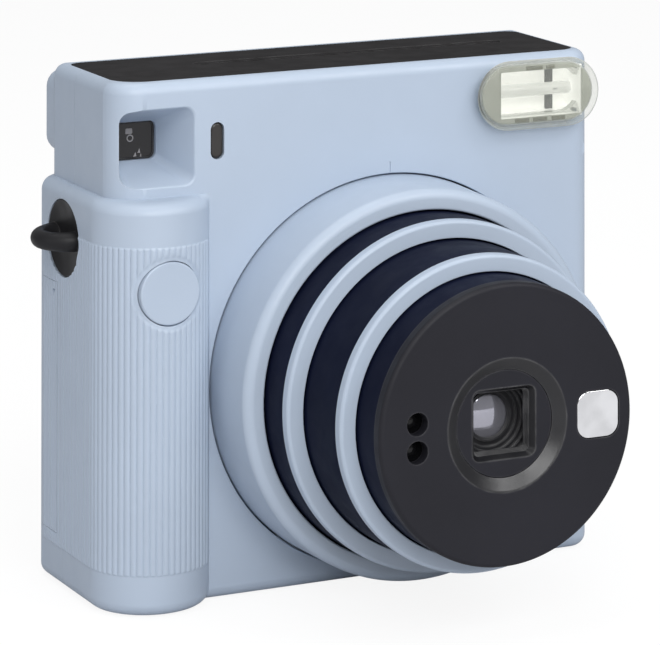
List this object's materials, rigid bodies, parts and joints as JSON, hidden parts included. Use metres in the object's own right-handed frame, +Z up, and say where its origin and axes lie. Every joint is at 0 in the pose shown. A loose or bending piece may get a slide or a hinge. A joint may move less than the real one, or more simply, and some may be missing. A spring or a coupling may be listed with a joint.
{
  "type": "instant camera",
  "caption": "Instant film camera: boxy body with a ribbed rounded grip, a large turning ring and a three-stage telescoping lens barrel, corner flash, viewfinder and print slot.",
  "frame": {"origin": "centre of the body's underside, midway between its side faces and between its front and back faces", "axes": "+Z up, -Y the way the lens looks, +X towards the flash side"},
  "size_m": [0.14, 0.1069, 0.1186],
  "materials": {
    "shell": "satin light grey-blue",
    "black": "satin black",
    "navy": "satin dark navy",
    "plate": "fine-grained satin black",
    "steel": "bright",
    "chrome": "polished",
    "mirror": "silvered",
    "glass": "clear",
    "smoked": "smoked gloss",
    "amber": "translucent amber",
    "diffuser": "clear ribbed",
    "white": "matt white",
    "battery": "printed sleeve, plain",
    "brass": "plated",
    "board": "solder resist",
    "cap": "plastic sleeve",
    "rubber": "matt"
  },
  "bodies": {
    "body": {"front_cover": "shell", "rear_cover": "shell", "top_panel": "black", "cover_screws": "steel", "strap_lug_left": "black", "strap_lug_right": "black", "door_hinge_pin": "steel", "battery_hinge_pin": "steel", "battery_box": "black", "battery_upper": "battery", "battery_lower": "battery", "battery_contacts": "brass", "counter_window": "glass", "barrel_base": "black", "button_spring": "steel", "shutter_switch": "board", "light_meter_window": "smoked", "flash_cover": "diffuser", "flash_reflector": "chrome", "flash_tube": "glass", "flash_capacitor": "cap", "viewfinder_window": "smoked", "viewfinder_tunnel": "black", "viewfinder_eyepiece": "glass", "eyepiece_frame": "rubber", "chassis": "black", "film_pack": "black", "film_sheets": "white", "roller_bearings": "black", "drive_motor": "steel", "circuit_board": "board"},
    "film_door_leaf": {"film_door": "shell", "pack_window": "amber", "door_pressure_spring": "steel"},
    "latch": {"door_latch": "black"},
    "battery_lid": {"battery_door": "shell"},
    "counter": {"counter_dial": "white"},
    "ring": {"lens_ring": "shell"},
    "stage_outer": {"barrel_tube_outer": "navy", "barrel_ring_outer": "shell"},
    "stage_middle": {"barrel_tube_middle": "navy", "barrel_ring_middle": "shell"},
    "stage_inner": {"barrel_tube_inner": "navy", "lens_front_plate": "plate", "lens_hood": "black", "lens_holder": "black", "front_lens": "glass", "rear_lens": "glass", "shutter_plate": "black", "selfie_mirror": "mirror", "sensor_lenses": "smoked"},
    "blade_left": {"shutter_blade_left": "black"},
    "blade_right": {"shutter_blade_right": "black"},
    "button": {"shutter_button": "shell"},
    "claw": {"film_claw": "steel"},
    "drive_shaft": {"drive_roller": "steel"},
    "pinch_shaft": {"pinch_roller": "steel"},
    "pinion": {"motor_pinion": "brass"},
    "flap": {"slot_flap": "black"}
  },
  "joints": [
    {"name": "lens_ring_turn", "type": "hinge", "parent": "body", "child": "ring", "pos_m": [0.0092, -0.02, 0.0478], "axis": [0, 1, 0], "range_deg": [0, 45]},
    {"name": "stage_outer_slide", "type": "slide", "parent": "body", "child": "stage_outer", "axis": [0, 1, 0], "range_m": [0, 0.0115]},
    {"name": "stage_middle_slide", "type": "slide", "parent": "stage_outer", "child": "stage_middle", "axis": [0, 1, 0], "range_m": [0, 0.0185]},
    {"name": "stage_inner_slide", "type": "slide", "parent": "stage_middle", "child": "stage_inner", "axis": [0, 1, 0], "range_m": [0, 0.0115]},
    {"name": "blade_left_swing", "type": "hinge", "parent": "stage_inner", "child": "blade_left", "pos_m": [0.0002, -0.059, 0.0428], "axis": [0, 1, 0], "range_deg": [0, 40]},
    {"name": "blade_right_swing", "type": "hinge", "parent": "stage_inner", "child": "blade_right", "pos_m": [0.0182, -0.059, 0.0428], "axis": [0, 1, 0], "range_deg": [-40, 0]},
    {"name": "shutter_button_press", "type": "slide", "parent": "body", "child": "button", "axis": [0, 1, 0], "range_m": [0, 0.0012], "stiffness_N_per_m": 600, "deforming": ["button_spring"]},
    {"name": "film_door_open", "type": "hinge", "parent": "body", "child": "film_door_leaf", "pos_m": [-0.0344, 0.0183, 0.053], "axis": [0, 0, 1], "range_deg": [0, 92]},
    {"name": "door_latch_slide", "type": "slide", "parent": "film_door_leaf", "child": "latch", "axis": [0, 0, -1], "range_m": [0, 0.0045]},
    {"name": "battery_door_open", "type": "hinge", "parent": "body", "child": "battery_lid", "pos_m": [-0.05, 0.0189, 0.041], "axis": [0, 0, -1], "range_deg": [0, 88]},
    {"name": "counter_turn", "type": "hinge", "parent": "body", "child": "counter", "pos_m": [-0.046, 0.0175, 0.08], "axis": [0, 1, 0], "range_deg": [0, 300]},
    {"name": "drive_roller_spin", "type": "hinge", "parent": "body", "child": "drive_shaft", "pos_m": [0.0092, -0.00155, 0.108], "axis": [1, 0, 0], "continuous": true},
    {"name": "pinch_roller_spin", "type": "hinge", "parent": "body", "child": "pinch_shaft", "pos_m": [0.0092, 0.00565, 0.108], "axis": [1, 0, 0], "continuous": true},
    {"name": "motor_spin", "type": "hinge", "parent": "body", "child": "pinion", "pos_m": [-0.038, -0.0106, 0.10329], "axis": [1, 0, 0], "continuous": true},
    {"name": "film_claw_slide", "type": "slide", "parent": "body", "child": "claw", "axis": [0, 0, 1], "range_m": [0, 0.005]},
    {"name": "slot_flap_lift", "type": "hinge", "parent": "body", "child": "flap", "pos_m": [0.0092, 0.00445, 0.1129], "axis": [-1, 0, 0], "range_deg": [0, 50]}
  ],
  "couplings": [
    {"joint": "stage_outer_slide", "follows": "lens_ring_turn", "m_per_rad": 0.01464},
    {"joint": "stage_middle_slide", "follows": "lens_ring_turn", "m_per_rad": 0.02355},
    {"joint": "stage_inner_slide", "follows": "lens_ring_turn", "m_per_rad": 0.01464},
    {"joint": "blade_right_swing", "follows": "blade_left_swing", "ratio": -1},
    {"joint": "pinch_roller_spin", "follows": "drive_roller_spin", "ratio": -1},
    {"joint": "motor_spin", "follows": "drive_roller_spin", "ratio": -2.4}
  ]
}
